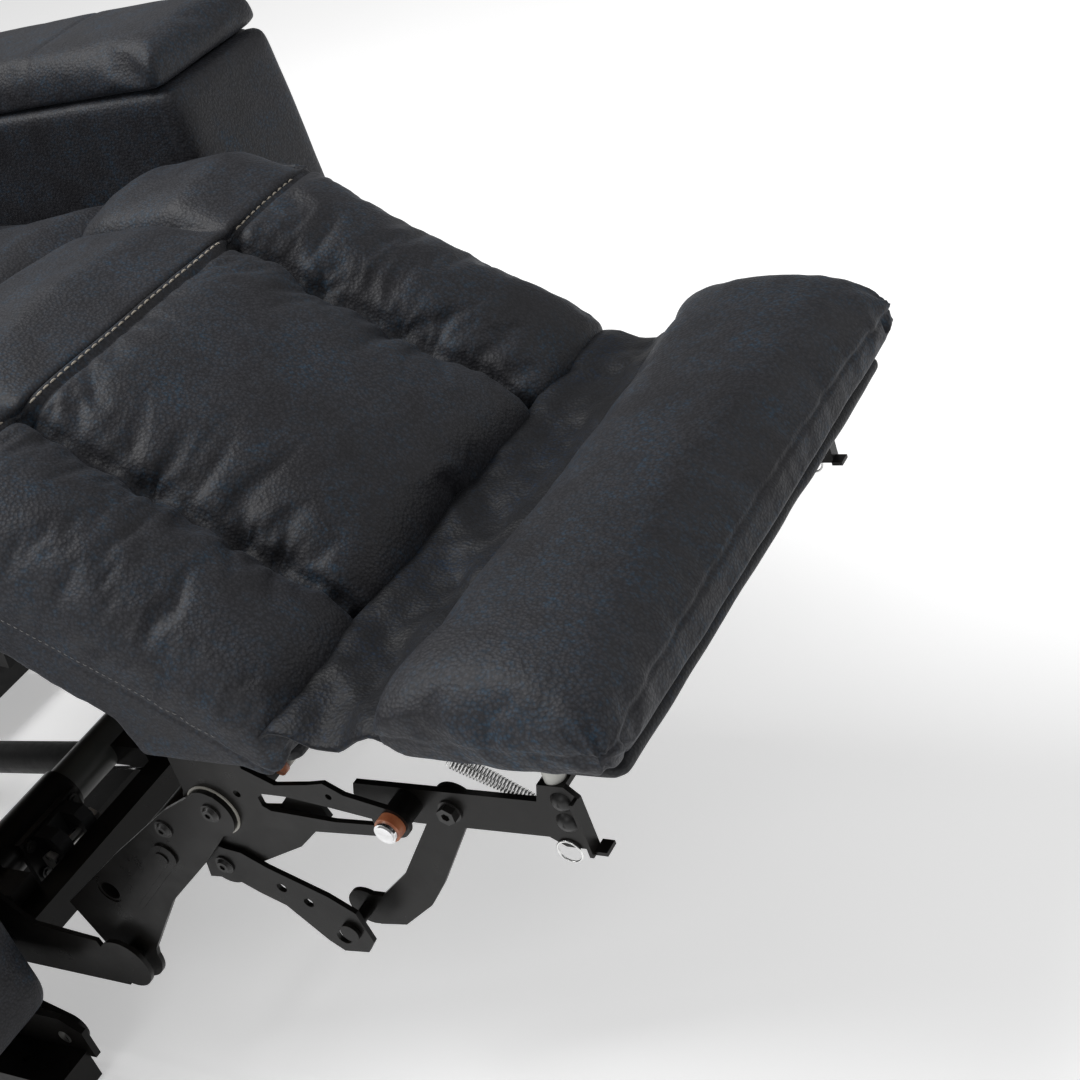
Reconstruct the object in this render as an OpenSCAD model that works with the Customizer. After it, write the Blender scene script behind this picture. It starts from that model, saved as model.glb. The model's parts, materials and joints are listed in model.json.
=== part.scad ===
// Power lift recliner chair, shown with its leg rest fully out and its back part way down.
// Millimetres, +Z up, the floor is Z 0, the sitter looks along -Y, X is the width.

/* [Upholstery] */
// Width of the seat and of the leg rest pads
pad_w = 520; // [460:5:580]
// Depth of the foot pad, front to back
foot_depth = 180; // [160:1:200]
// Width of one armrest
arm_w = 163; // [120:1:190]
// Top of the armrests above the leg rest datum
arm_top = 272; // [230:1:300]
// Length of the back above its hinge
back_len = 720; // [640:5:780]

/* [Mechanism] */
// Thickness of the linkage plates
plate_t = 4; // [3:0.5:6]
// Wall layer of the outer swing arms
arm_layer = 241; // [235:1:245]
// Diameter of the grey cross tube
grey_d = 40; // [32:1:44]
// Side of the black square tube
square_tube = 28; // [24:1:32]

/* [Hidden] */
floor_h = 430;
fit = 0.05;
half = pad_w / 2;
arm_in = 278;
arm_out = arm_in + arm_w;
$fn = 48;

// pivots, as [Y, Z] pairs in the leg rest datum
p_swing = [379.8, -298.3];
p_ring = [199, -119];
p_nose = [33, -110];
p_drop = [0, -114];
p_toe = [128, -234];
p_link = [225, -182];
p_torque = [365, -225];
p_crank = [317.8, -247.9];
p_legmotor = [790, -144];
p_beam = [488, -283];
p_grey = [562, -262];
p_lift = [560, -385];
p_lift_top = [860, -330];
p_front = [481.827, -382.316];
p_front_top = [700, -300];
p_liftmotor = [1040, -372];
p_liftrod = [488, -318];
p_back = [1005, 40];
p_lever = [1019, -54];
p_reclmotor = [610, -54];
back_tilt = 25;

// the frame's origin is the middle of the bounding box, front to back
rear_y = p_back[0] + 44.5 * cos(back_tilt) + (back_len + 12) * sin(back_tilt);
y0 = (foot_depth - rear_y) / 2;

steel = "#26272a";
zinc = "#b9bcc0";
cloth = "#4a4f5c";
ply = "#b08d62";
plastic = "#2b2c2e";

// ---------- helpers ----------
module place() {
    translate([0, y0, floor_h]) children();
}

module sides() {
    children();
    mirror([1, 0, 0]) children();
}

// outline in the Y-Z plane, from x to x + t
module plate(x, t) {
    translate([x, 0, 0]) rotate([90, 0, 90]) linear_extrude(t) children();
}

module at(p) {
    translate(p) children();
}

module rod_x(x, len, p, r) {
    translate([x, p[0], p[1]]) rotate([0, 90, 0]) cylinder(r = r, h = len);
}

module tube_x(x, len, p, r, bore) {
    difference() {
        rod_x(x, len, p, r);
        rod_x(x - 1, len + 2, p, bore);
    }
}

// straight flat link between two eyes
module bar2(a, b, r) {
    d = b - a;
    n = [-d[1], d[0]] * r / norm(d);
    polygon([a + n, b + n, b - n, a - n]);
    at(a) circle(r);
    at(b) circle(r);
}

// box with upright edges rounded
module soft_box(x, y, z, size, r) {
    translate([x, y, z]) linear_extrude(size[2]) soft_square(size[0], size[1], r);
}

module soft_square(w, l, r) {
    translate([r, 0]) square([w - 2 * r, l]);
    translate([0, r]) square([w, l - 2 * r]);
    for (i = [r, w - r], j = [r, l - r]) at([i, j]) circle(r);
}

module back_place() {
    place() translate([0, p_back[0], p_back[1]]) rotate([-back_tilt, 0, 0]) children();
}

// electric cylinder: gearbox, barrel and rear eye, along +Y from the origin towards the rod
module motor_body(len) {
    translate([0, 22, 0]) rotate([-90, 0, 0]) cylinder(r = 17, h = len - 22);
    translate([-10, 0, -12]) cube([20, 24, 24]);
    translate([-24, 26, -30]) cube([48, 96, 62]);
    translate([24, 52, -2]) rotate([0, 90, 0]) cylinder(r = 24, h = 6);
    translate([0, 74, 32]) cylinder(r = 21, h = 44);
}

module motor(len, pin_r) {
    difference() {
        union() {
            motor_body(len);
            translate([-10, 0, 0]) rotate([0, 90, 0]) cylinder(r = 15, h = 20);
        }
        translate([-30, 0, 0]) rotate([0, 90, 0]) cylinder(r = pin_r, h = 60);
        translate([0, len - 235, 0]) rotate([-90, 0, 0]) cylinder(r = 11 + fit, h = 240);
    }
}

// ---------- base on the floor ----------
module floor_frame() {
    color(steel) place() difference() {
        union() {
            sides() translate([284, 462, -425]) cube([40, 615, 30]);
            for (y = [690, 1037]) translate([-290, y, -425]) cube([580, 40, 25]);
        }
        for (x = [-304, 304], y = [520, 1000])
            translate([x, y, -430]) cylinder(r = 4.5, h = 40);
    }
}

module rubber_glides() {
    color("#202020") place() for (x = [-304, 304], y = [484, 1056])
        translate([x, y, -430]) cylinder(r = 17, h = 5);
}

module base_brackets() {
    color(steel) place() {
        sides() difference() {
            plate(278, 6) polygon([[455, -402], [455, -372], [475, -358], [575, -358],
                [590, -372], [590, -402]]);
            rod_x(270, 20, p_lift, 7 + fit);
            rod_x(270, 20, p_front, 7 + fit);
        }
        sides() plate(12, 5) polygon([[1037, -400], [1020, -384], [1024, -362], [1034, -354],
            [1046, -354], [1056, -362], [1070, -400]]);
        rod_x(-20, 40, p_liftmotor, 6);
    }
}

module power_supply() {
    color(plastic) place() {
        soft_box(70, 985, -400, [150, 52, 46], 6);
        translate([145, 985, -376]) rotate([90, 0, 0]) cylinder(r = 9, h = 7);
        translate([190, 985, -376]) rotate([90, 0, 0]) cylinder(r = 6, h = 12);
    }
}

// ---------- lift linkage ----------
module lift_arms() {
    color(steel) place() {
        sides() difference() {
            plate(262, 6) bar2(p_lift, p_lift_top, 22);
            rod_x(260, 10, p_lift, 7);
            rod_x(260, 10, p_lift_top, 7);
        }
        rod_x(-262, 524, [620, -374], 13);
    }
}

module lift_pins() {
    color(zinc) place() sides() {
        rod_x(250, 19, p_lift_top, 7);
        rod_x(262, 22, p_lift, 7);
    }
}

module link_pins() {
    color(zinc) place() sides() rod_x(268, 16, p_front, 7);
}

module front_links() {
    color(steel) place() sides() difference() {
        plate(270, 5) bar2(p_front, p_front_top, 16);
        rod_x(268, 10, p_front, 7);
    }
}

lift_len = norm(p_liftrod - p_liftmotor);
lift_ang = atan2(p_liftrod[1] - p_liftmotor[1], p_liftmotor[0] - p_liftrod[0]);
leg_len = norm(p_crank - p_legmotor);
leg_ang = atan2(p_crank[1] - p_legmotor[1], p_legmotor[0] - p_crank[0]);

module toward_front(p, a) {
    translate([0, p[0], p[1]]) rotate([-a, 0, 0]) rotate([0, 0, 180]) children();
}

module lift_motor() {
    color(plastic) place() toward_front(p_liftmotor, lift_ang) motor(400, 6 + fit);
}

// chromed rod from start to full, with its eye and cross pin at the far end
module rod_end(start, full, eye_w) {
    translate([0, start, 0]) rotate([-90, 0, 0]) cylinder(r = 11, h = full - start - 28);
    translate([-eye_w / 2, full - 30, -9]) cube([eye_w, 30, 18]);
    translate([-eye_w / 2, full, 0]) rotate([0, 90, 0]) cylinder(r = 16, h = eye_w);
}

module lift_rod() {
    color(zinc) place() toward_front(p_liftmotor, lift_ang) rod_end(200, lift_len, 24);
}

// ---------- carriage ----------
module side_plates() {
    color(steel) place() sides() difference() {
        plate(254, 4) {
            polygon([[400, -275], [470, -268], [540, -190], [560, -20], [950, -20], [985, 52],
                [1005, 62], [1025, 52], [1026, 30], [985, -120], [905, -350], [840, -358],
                [650, -322], [390, -325]]);
            at(p_swing) circle(25);
            at(p_lift_top) circle(28);
            at(p_back) circle(23);
        }
        rod_x(250, 12, p_swing, 8 + fit);
        rod_x(250, 12, p_lift_top, 7 + fit);
        rod_x(250, 12, p_back, 8 + fit);
        for (y = [650, 760, 870]) rod_x(250, 12, [y, -150], 40);
    }
    color(steel) place() sides() {
        rod_x(256, 13.6, p_front_top, 7);
        for (p = [[600, -60], [900, -60]]) rod_x(258, arm_in - 258.3, p, 11);
    }
}

module square_subframe() {
    s = square_tube;
    color(steel) place() {
        translate([-254, p_beam[0] - s / 2, p_beam[1] - s / 2]) cube([508, s, s]);
        for (x = [-245, -58, 30, 217]) difference() {
            translate([x, p_beam[0] + s / 2, -278]) cube([s, p_grey[0] - p_beam[0] - s / 2 - 10, 24]);
            rod_x(x - 1, s + 2, p_grey, grey_d / 2 + fit);
        }
        for (x = [-20, 14]) difference() {
            plate(x, 6) polygon([[474, -297], [472, -322], [480, -334], [496, -334], [504, -322],
                [502, -297]]);
            rod_x(x - 2, 12, p_liftrod, 6);
        }
        for (x = [-24, 14]) rod_x(x, 10, p_liftrod, 6);
    }
}

module grey_cross_tube() {
    color("#8d8f8c") place() difference() {
        rod_x(-254, 508, p_grey, grey_d / 2);
        rod_x(-260, 520, p_grey, grey_d / 2 - 3);
    }
}

// bent steel saddle clamped over the left part of the grey tube
module tube_saddle() {
    r = grey_d / 2;
    color(steel) place() difference() {
        union() {
            tube_x(-216, 104, p_grey, r + 2.5, r + fit);
            plate(-216, 3) polygon([p_grey + [-8, -22], p_grey + [-8, -58], p_grey + [22, -58],
                p_grey + [22, -16]]);
            translate([-196, p_grey[0] - r - 9, p_grey[1] - 34]) cube([76, 6.6, 48]);
        }
        rod_x(-230, 130, p_grey, r + fit);
    }
}

module saddle_screws() {
    r = grey_d / 2;
    color("#3a3a3c") place() for (x = [-188, -128], z = [-26, 6])
        translate([x, p_grey[0] - r - 9, p_grey[1] + z]) rotate([90, 0, 0]) {
            cylinder(r = 5.5, h = 3);
            cylinder(r = 3, h = 4.6);
        }
}

module fork_clevis() {
    r = grey_d / 2;
    color(plastic) place() difference() {
        union() {
            translate([-181, p_grey[0] - r - 15, p_grey[1] - 30]) cube([46, 6, 42]);
            for (x = [-181, -149]) plate(x, 14) polygon([p_grey + [-r - 15, 12],
                p_grey + [-r - 32, 10], p_grey + [-r - 38, 2], p_grey + [-r - 38, -18],
                p_grey + [-r - 32, -28], p_grey + [-r - 15, -30]]);
        }
        rod_x(-190, 70, p_grey + [-r - 27, -10], 5 + fit);
    }
}

module clevis_bolt() {
    p = p_grey + [-grey_d / 2 - 27, -10];
    color(zinc) place() {
        rod_x(-184, 54, p, 5);
        translate([-189, p[0], p[1]]) rotate([0, 90, 0]) cylinder(r = 9, h = 6, $fn = 6);
        translate([-134.5, p[0], p[1]]) rotate([0, 90, 0]) cylinder(r = 9, h = 7, $fn = 6);
    }
}

module leg_motor() {
    color(plastic) place() {
        toward_front(p_legmotor, leg_ang) motor(330, 6 + fit);
    }
}

module leg_rod() {
    color(zinc) place() toward_front(p_legmotor, leg_ang) rod_end(205, leg_len, 24);
}

module recline_motor() {
    l = p_lever[0] - p_reclmotor[0];
    color(plastic) place() translate([120, p_reclmotor[0], p_reclmotor[1]]) motor(290, 6);
    color(plastic) place() rod_x(96, 48, p_reclmotor, 6);
}

module recline_rod() {
    full = p_lever[0] - p_reclmotor[0];
    color(zinc) place() translate([120, p_reclmotor[0], p_reclmotor[1]]) rod_end(170, full, 15);
}

module motor_mounts() {
    color(steel) place() {
        difference() {
            union() {
                translate([-254, 818, -158]) cube([508, 28, 28]);
                sides() plate(12, 5) polygon([p_legmotor + [-16, -14], p_legmotor + [-16, 10],
                    p_legmotor + [-6, 17], [832, -131], [832, -157], p_legmotor + [-6, -20]]);
            }
            rod_x(-30, 60, p_legmotor, 6);
        }
        rod_x(-17, 34, p_legmotor, 6);
        for (x = [91, 144]) difference() {
            plate(x, 5) polygon([[526, -20.5], [600, -20.5], p_reclmotor + [16, 0],
                p_reclmotor + [10, -14], p_reclmotor + [-10, -14], [526, -34]]);
            rod_x(x - 2, 10, p_reclmotor, 6);
        }
    }
}

// ---------- leg rest linkage ----------
module arm_outline() {
    polygon([[247, -122], [201, -98], [187, -101], [179, -113], [184, -128], [229, -170],
        [295, -224], [350, -288], [360, -316], [395, -322], [408, -300], [425, -247],
        [331, -179]]);
    at(p_ring) circle(21);
    at(p_swing) circle(27);
}

module swing_arms() {
    color(steel) place() sides() {
        difference() {
            union() {
                plate(arm_layer, plate_t) arm_outline();
                plate(arm_layer + plate_t, 2) bar2([272, -170], [343, -231], 11);
                plate(arm_layer + plate_t + 2, 1) bar2([276, -173], [339, -228], 6);
            }
            rod_x(230, 30, p_torque, 12);
        }
        rod_x(arm_layer + plate_t, 13, p_swing, 8);
        rod_x(227.5, 14, p_ring, 7);
    }
    color(steel) place() {
        sides() tube_x(13, 231, p_torque, 12, 9);
        for (x = [-19, 13]) difference() {
            plate(x, 6) bar2(p_torque + [-6, -2], p_crank, 17);
            rod_x(x - 2, 10, p_torque, 11);
        }
        for (x = [-23, 19]) rod_x(x, 4, p_crank, 9);
    }
}

module button_bolt(p, x) {
    translate([x, p[0], p[1]]) rotate([0, 90, 0]) difference() {
        union() {
            cylinder(r = 8, h = 1.5);
            cylinder(r1 = 7.5, r2 = 5, h = 4);
        }
        translate([0, 0, 2.4]) cylinder(r = 2.6, h = 3, $fn = 6);
    }
}

module arm_bolts() {
    color("#46474a") place() sides() for (p = [[197, -117], [257, -141]])
        button_bolt(p, arm_layer + plate_t);
}

module ring_washers() {
    color("#dcdad2") place() sides() tube_x(239.7, 1.1, p_ring, 22.6, 7 + fit);
}

module ring_plate_outline() {
    difference() {
        union() {
            polygon([[218, -66], [148, -66], [150, -74], [126, -87], [95, -83], [80, -80],
                [66, -89], [33, -97], [22, -104], [22, -116], [33, -123], [49, -124],
                [92, -127], [148, -131], [175, -136], [190, -143], [208, -141], [220, -125],
                [221, -108]]);
            at(p_nose) circle(13);
            at(p_ring) circle(27);
        }
        polygon([[148, -109], [148, -101], [142, -97], [120, -97], [86, -102], [50, -108],
            [50, -114], [86, -116], [142, -113]]);
        at([167, -100]) circle(3.2);
        at([80, -92]) circle(2.6);
        at(p_ring) circle(7 + fit);
        at(p_nose) circle(6);
    }
}

module ring_plates() {
    color(steel) place() sides() {
        plate(235.5, plate_t) ring_plate_outline();
        translate([212, 148, -70]) cube([25, 70, plate_t]);
    }
}

module inner_plates() {
    color(steel) place() sides() {
        plate(227.5, plate_t) difference() {
            polygon([[222, -95], [176, -95], [160, -119], [142, -117], [125, -101], [104, -102],
                [98, -122], [118, -137], [140, -155], [187, -177], [215, -203], [238, -204],
                [247, -190], [236, -140]]);
            at(p_ring) circle(7 + fit);
            at(p_link) circle(5);
        }
        tube_x(231.5, 4, p_ring, 13, 7 + fit);
        tube_x(218.2, 17.1, p_nose, 10.5, 6);
    }
}

module short_links() {
    color(steel) place() sides() plate(231.5, plate_t) difference() {
        union() {
            polygon([[243, -174], [228, -163], [202, -167], [183, -179], [136, -201],
                [116, -215], [112, -244], [122, -256], [146, -259], [157, -250], [183, -218],
                [204, -208], [224, -196], [248, -198]]);
            at(p_link) circle(19);
        }
        at(p_link) circle(5);
        at([178, -199]) circle(4.4);
        at([158, -211]) circle(4.4);
        bar2(p_toe, p_toe + [12, -10], 6.2);
    }
}

module link_bolts() {
    color("#46474a") place() sides() {
        rod_x(227.5, 8, p_link, 4.95);
        button_bolt(p_link, 235.5);
    }
}

module nose_bushes() {
    color("#a8643c") place() sides() tube_x(239.5, 7, p_nose, 10, 6);
}

module nose_caps() {
    color("#d5d6d8") place() sides() {
        rod_x(246.5, 3.5, p_nose, 8.4);
        rod_x(250, 1, p_nose, 7);
        rod_x(213, 34, p_nose, 5.95);
    }
}

// ties the left and right ring plates together under the calf board
module calf_cross_bar() {
    color(steel) place() translate([-235.5, 133, -91]) cube([471, 24, 21]);
}

module calf_board() {
    color(ply) place() soft_box(-236, 94, -66, [472, 120, 12], 8);
}

module calf_pad() {
    color(cloth) place() plate(-half, pad_w) polygon([[72, -14], [80, -4], [321, 162], [377, 79],
        [226, -22], [217, -53.7], [100, -53.7], [80, -42]]);
}

module footrest_bars() {
    color(steel) place() sides() plate(213, 5) difference() {
        polygon([[80, -108], [76, -98.5], [-84, -96], [-84, -127], [34, -130], [70, -128],
            [80, -120]]);
        at(p_nose) circle(6);
        at(p_drop) circle(5);
    }
}

module end_brackets() {
    color(steel) place() sides() {
        plate(218, 4) difference() {
            polygon([[-84, -77], [-104, -77], [-112, -86], [-112, -130], [-88, -130],
                [-76, -122], [-76, -100]]);
            for (p = [[-98, -90], [-96, -108]]) at(p) circle(4);
        }
        translate([205, -104, -81]) cube([13, 20, 4]);
        translate([222, -112, -130]) cube([7, 3, 45]);
        translate([214, -121, -130]) cube([12, 9, 3]);
    }
}

module dome_rivets() {
    color("#303134") place() sides() for (p = [[-98, -90], [-96, -108]]) {
        rod_x(218, 5, p, 3.95);
        translate([222, p[0], p[1]]) rotate([0, 90, 0]) intersection() {
            translate([0, 0, -5]) sphere(r = 9.4);
            cylinder(r = 8, h = 8);
        }
    }
}

module bumpers() {
    color("#c4c4be") place() sides() translate([213.5, -94, -77]) cylinder(r = 7.5, h = 24.6);
}

// wire coil between the bar and the board, as a solid of revolution
module coil_springs() {
    turns = 26;
    pitch = 2.5;
    color("#c9ccd0") place() sides() translate([205.5, -8, -78]) rotate([118.9, 0, 0])
        rotate_extrude() {
            square([4.4, turns * pitch]);
            for (i = [0 : turns - 1]) translate([4.6, i * pitch + 1.25]) circle(r = 1.1);
        }
}

module steel_rings() {
    color("#c9ccd0") place() sides() translate([223.2, -90, -133]) rotate([0, 90, 0])
        rotate_extrude() translate([9, 0]) circle(r = 0.9);
}

module drop_links() {
    color(steel) place() sides() {
        plate(208, plate_t) difference() {
            union() {
                polygon([[-14, -122], [16, -112], [32, -135], [76, -192], [108, -219],
                    [134, -220], [124, -251], [98, -247], [64, -221], [43, -196], [0, -136]]);
                at(p_drop) circle(17);
                at(p_toe) circle(17);
            }
            at(p_drop) circle(5 + fit);
        }
        rod_x(203.5, 5, p_toe, 8);
        rod_x(211, 25, p_toe, 5);
        rod_x(235.8, 3.4, p_toe, 8);
    }
}

module hex_bolts() {
    color("#2c2d30") place() sides() {
        rod_x(205, 14, p_drop, 5);
        rod_x(218, 1.5, p_drop, 9);
        translate([219.5, p_drop[0], p_drop[1]]) rotate([0, 90, 0]) difference() {
            cylinder(r = 7.4, h = 5.5, $fn = 6);
            translate([0, 0, 2.5]) cylinder(r = 3.4, h = 4, $fn = 6);
        }
        rod_x(203, 5, p_drop, 8);
    }
}

module foot_board() {
    color(ply) place() soft_box(-236, -foot_depth + 14, -52.3, [472, foot_depth - 28, 12], 10);
}

module foot_pad() {
    color(cloth) place() plate(-half, pad_w) polygon([[0, -12], [-12, 0], [-foot_depth + 14, 0],
        [-foot_depth, -10], [-foot_depth, -24], [-foot_depth + 14, -40], [-14, -40], [0, -24]]);
}

// ---------- seat ----------
module seat_frame() {
    color(ply) place() {
        for (y = [526, 925]) translate([-229, y, -20]) cube([458, 25, 65]);
        sides() translate([229, 526, -20]) cube([24.7, 424, 65]);
    }
}

module zigzag(x) {
    bar2([x, 932], [x + 20, 892], 2);
    for (i = [0 : 6]) {
        s = i % 2 == 0 ? 20 : -20;
        bar2([x - s, 542 + i * 50], [x + s, 542 + i * 50], 2);
        bar2([x + s, 542 + i * 50], [x + s, 592 + i * 50], 2);
    }
    bar2([x + 20, 892], [x - 20, 892], 2);
}

module seat_springs() {
    color(zinc) place() for (x = [-176, -88, 0, 88, 176])
        translate([0, 0, 45.3]) linear_extrude(4) zigzag(x);
}

module seat_cushion() {
    color(cloth) place() plate(-half + 2, pad_w - 4) polygon([[507, 62], [507, 140], [520, 152],
        [700, 148], [900, 140], [914, 130], [914, 58], [860, 50.5], [560, 50.5]]);
}

module knee_pad() {
    color(cloth) place() plate(-half, pad_w) polygon([[323.5, 162.5], [380, 176], [470, 172],
        [505, 160], [505, 90], [470, 72], [380, 80]]);
}

module arm_boxes() {
    color(cloth) place() sides() soft_box(arm_in, 462, -330, [arm_w, 600, arm_top + 294], 14);
}

module arm_pads() {
    r = 17;
    color(cloth) place() sides() translate([arm_in, 452, arm_top - 36]) {
        translate([0, r, 0.3]) cube([arm_w, 604, 20]);
        translate([r, r, 0.3]) cube([arm_w - 2 * r, 604, 35.7]);
        for (x = [r, arm_w - r]) translate([x, r, 19]) rotate([-90, 0, 0])
            cylinder(r = r, h = 604);
    }
}

module side_pockets() {
    color(cloth) place() sides() translate([arm_out, 560, 10]) difference() {
        cube([18, 200, 130]);
        translate([0.8, 4, 4]) cube([14.2, 192, 130]);
    }
}

module handset() {
    color(plastic) place() difference() {
        translate([arm_out + 1.4, 640, 14.5]) rotate([90, 0, 90]) linear_extrude(13)
            soft_square(52, 190, 10);
        for (z = [150, 178]) rod_x(arm_out + 9, 10, [666, z], 8 + fit);
    }
}

module handset_button(z) {
    color("#c9cbd0") place() rod_x(arm_out + 10.5, 5.5, [666, z], 8);
}

module raise_button() {
    handset_button(178);
}

module lower_button() {
    handset_button(150);
}

// ---------- back ----------
module back_frame() {
    color(ply) back_place() {
        sides() translate([214, -4, -30]) cube([30, 26, back_len + 10]);
        for (z = [70, 300, 500, back_len - 65]) translate([-214.5, -4, z]) cube([429, 26, 45]);
    }
}

module back_brackets() {
    v = [52.4, -79.3];
    color(steel) back_place() {
        sides() plate(244.2, 5.8) difference() {
            polygon([[-16, -30], [24, -30], [24, 112], [22.2, 118], [22.2, 150], [-4.6, 150],
                [-4.6, 84], [-22, 70], [-22, 20]]);
            circle(8);
        }
        sides() rod_x(244.2, 13.6, [0, 0], 8);
        for (x = [107, 128]) plate(x, 5) {
            polygon([[22.2, 115], [36, 115], v + [15, 6], v + [-15, -4], [22.2, 60]]);
            at(v) circle(16);
        }
        for (x = [103, 133]) rod_x(x, 4, v, 8);
    }
}

module back_shell() {
    color(cloth) back_place() {
        translate([-half + 2, 22.5, 122]) cube([pad_w - 4, 22, back_len - 110]);
        sides() translate([half - 0.5, -88, 332]) rotate([90, 0, 90]) linear_extrude(24)
            soft_square(132.5, back_len - 344, 24);
    }
}

module lumbar_cushion() {
    color(cloth) back_place() plate(-half + 2, pad_w - 4) polygon([[-5, 86], [-118, 92],
        [-132, 108], [-134, 180], [-128, 262], [-112, 276], [-5, 276]]);
}

module shoulder_cushion() {
    color(cloth) back_place() plate(-half + 2, pad_w - 4) polygon([[-5, 279], [-112, 281],
        [-126, 296], [-128, 380], [-122, 470], [-108, 484], [-5, 486]]);
}

module head_cushion() {
    top = back_len + 10;
    color(cloth) back_place() plate(-half + 2, pad_w - 4) polygon([[-5, 489], [-108, 491],
        [-124, 506], [-128, 600], [-118, top - 40], [-90, top - 8], [-40, top], [-5, top]]);
}

// ---------- output ----------
floor_frame();
rubber_glides();
base_brackets();
power_supply();
lift_arms();
lift_pins();
front_links();
link_pins();
lift_motor();
lift_rod();
side_plates();
square_subframe();
grey_cross_tube();
tube_saddle();
saddle_screws();
fork_clevis();
clevis_bolt();
motor_mounts();
leg_motor();
leg_rod();
recline_motor();
recline_rod();
swing_arms();
arm_bolts();
ring_washers();
ring_plates();
inner_plates();
short_links();
link_bolts();
nose_bushes();
nose_caps();
calf_cross_bar();
calf_board();
calf_pad();
footrest_bars();
end_brackets();
dome_rivets();
bumpers();
coil_springs();
steel_rings();
drop_links();
hex_bolts();
foot_board();
foot_pad();
seat_frame();
seat_springs();
seat_cushion();
knee_pad();
arm_boxes();
arm_pads();
side_pockets();
back_frame();
back_brackets();
back_shell();
lumbar_cushion();
shoulder_cushion();
head_cushion();
handset();
raise_button();
lower_button();
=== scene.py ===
"""The lift recliner chair's looks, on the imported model's frame. Metres, front towards -Y, +Z up."""
import json
import math

import bpy
import numpy as np
from mathutils import Matrix, Vector, noise
from mathutils.bvhtree import BVHTree


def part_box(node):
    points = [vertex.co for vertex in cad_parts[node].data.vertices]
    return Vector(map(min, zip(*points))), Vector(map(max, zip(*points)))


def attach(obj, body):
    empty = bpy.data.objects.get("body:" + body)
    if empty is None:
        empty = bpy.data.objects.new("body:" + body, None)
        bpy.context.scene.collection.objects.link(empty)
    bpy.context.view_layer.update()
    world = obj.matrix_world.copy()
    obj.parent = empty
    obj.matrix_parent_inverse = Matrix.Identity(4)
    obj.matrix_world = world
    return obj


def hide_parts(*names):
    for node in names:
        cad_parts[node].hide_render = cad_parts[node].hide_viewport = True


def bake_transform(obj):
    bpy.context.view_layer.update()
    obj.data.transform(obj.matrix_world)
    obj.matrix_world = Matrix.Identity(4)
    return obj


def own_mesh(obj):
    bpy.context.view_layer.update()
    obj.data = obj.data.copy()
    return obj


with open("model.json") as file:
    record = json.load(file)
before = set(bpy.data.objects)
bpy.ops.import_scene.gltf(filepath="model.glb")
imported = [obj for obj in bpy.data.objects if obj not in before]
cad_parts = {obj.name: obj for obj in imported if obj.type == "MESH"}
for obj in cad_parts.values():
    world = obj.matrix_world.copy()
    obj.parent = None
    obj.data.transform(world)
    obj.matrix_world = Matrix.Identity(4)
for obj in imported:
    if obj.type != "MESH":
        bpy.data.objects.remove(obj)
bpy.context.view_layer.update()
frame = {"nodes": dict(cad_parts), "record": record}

MM = 0.001
# the origin for seat(): the footrest pad's top rear edge, on the middle plane
SEAT_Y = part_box("foot_pad")[1].y
SEAT_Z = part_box("foot_pad")[1].z
SEAT = np.array([0.0, SEAT_Y, SEAT_Z])


def seat(x, y, z):
    """a point given in millimetres from the seat frame's origin"""
    return Vector((x * MM, SEAT_Y + y * MM, SEAT_Z + z * MM))


# ---------------------------------------------------------------- camera and light

def make_camera():
    """the view of the reference picture, from above the near front corner"""
    right = Vector((0.44908, -0.83776, -0.31063))
    up = Vector((0.58835, 0.01563, 0.80845))
    ahead = Vector((0.67243, 0.54582, -0.49992))
    place = seat(-889.7, -700.1, 611.2)
    data = bpy.data.cameras.new("camera")
    data.sensor_width = 36
    data.lens = 59.908
    data.clip_start = 0.05
    data.clip_end = 50
    obj = bpy.data.objects.new("camera", data)
    bpy.context.scene.collection.objects.link(obj)
    axes = Matrix((right, up, -ahead)).transposed().to_4x4()
    obj.matrix_world = Matrix.Translation(place) @ axes
    bpy.context.scene.camera = obj


def area_light(name, place, target, size, power):
    """a rectangular white light at place, facing target"""
    data = bpy.data.lights.new(name, "AREA")
    data.shape = "RECTANGLE"
    data.size, data.size_y = size
    data.energy = power
    obj = bpy.data.objects.new(name, data)
    bpy.context.scene.collection.objects.link(obj)
    obj.location = place
    obj.rotation_mode = "QUATERNION"
    obj.rotation_quaternion = (Vector(target) - Vector(place)).to_track_quat("-Z", "Y")


def make_studio():
    """an even pale surround, three soft lights and a plain pale floor"""
    world = bpy.data.worlds.new("studio")
    world.use_nodes = True
    world.node_tree.nodes["Background"].inputs["Color"].default_value = (1, 1, 1, 1)
    world.node_tree.nodes["Background"].inputs["Strength"].default_value = 0.28
    bpy.context.scene.world = world
    bpy.context.scene.view_settings.view_transform = "Standard"
    area_light("softbox_over", (-0.5, 1.2, 3.1), (0, -0.2, 0.5), (2.4, 2.0), 105)
    area_light("softbox_front", (1.8, -2.8, 2.4), (0, -0.4, 0.5), (1.8, 1.8), 20)
    area_light("softbox_side", (-3.0, -0.8, 2.0), (0, -0.5, 0.4), (1.4, 1.4), 14)
    half = 40
    corners = [(-half, -half, 0), (half, -half, 0), (half, half, 0), (-half, half, 0)]
    mesh = bpy.data.meshes.new("floor")
    mesh.from_pydata(corners, [], [(0, 1, 2, 3)])
    floor = bpy.data.objects.new("studio_floor", mesh)
    bpy.context.scene.collection.objects.link(floor)
    m = Nodes("pale_floor")
    m.colour(m.ramp(m.noise(1.5, 2), [(0.3, (0.90, 0.90, 0.90)), (0.7, (0.93, 0.93, 0.93))]))
    m.shader.inputs["Roughness"].default_value = 0.8
    m.shader.inputs["Emission Color"].default_value = (1, 1, 1, 1)
    m.shader.inputs["Emission Strength"].default_value = 0.42
    floor.data.materials.append(m.material)


# ---------------------------------------------------------------- materials

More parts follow.
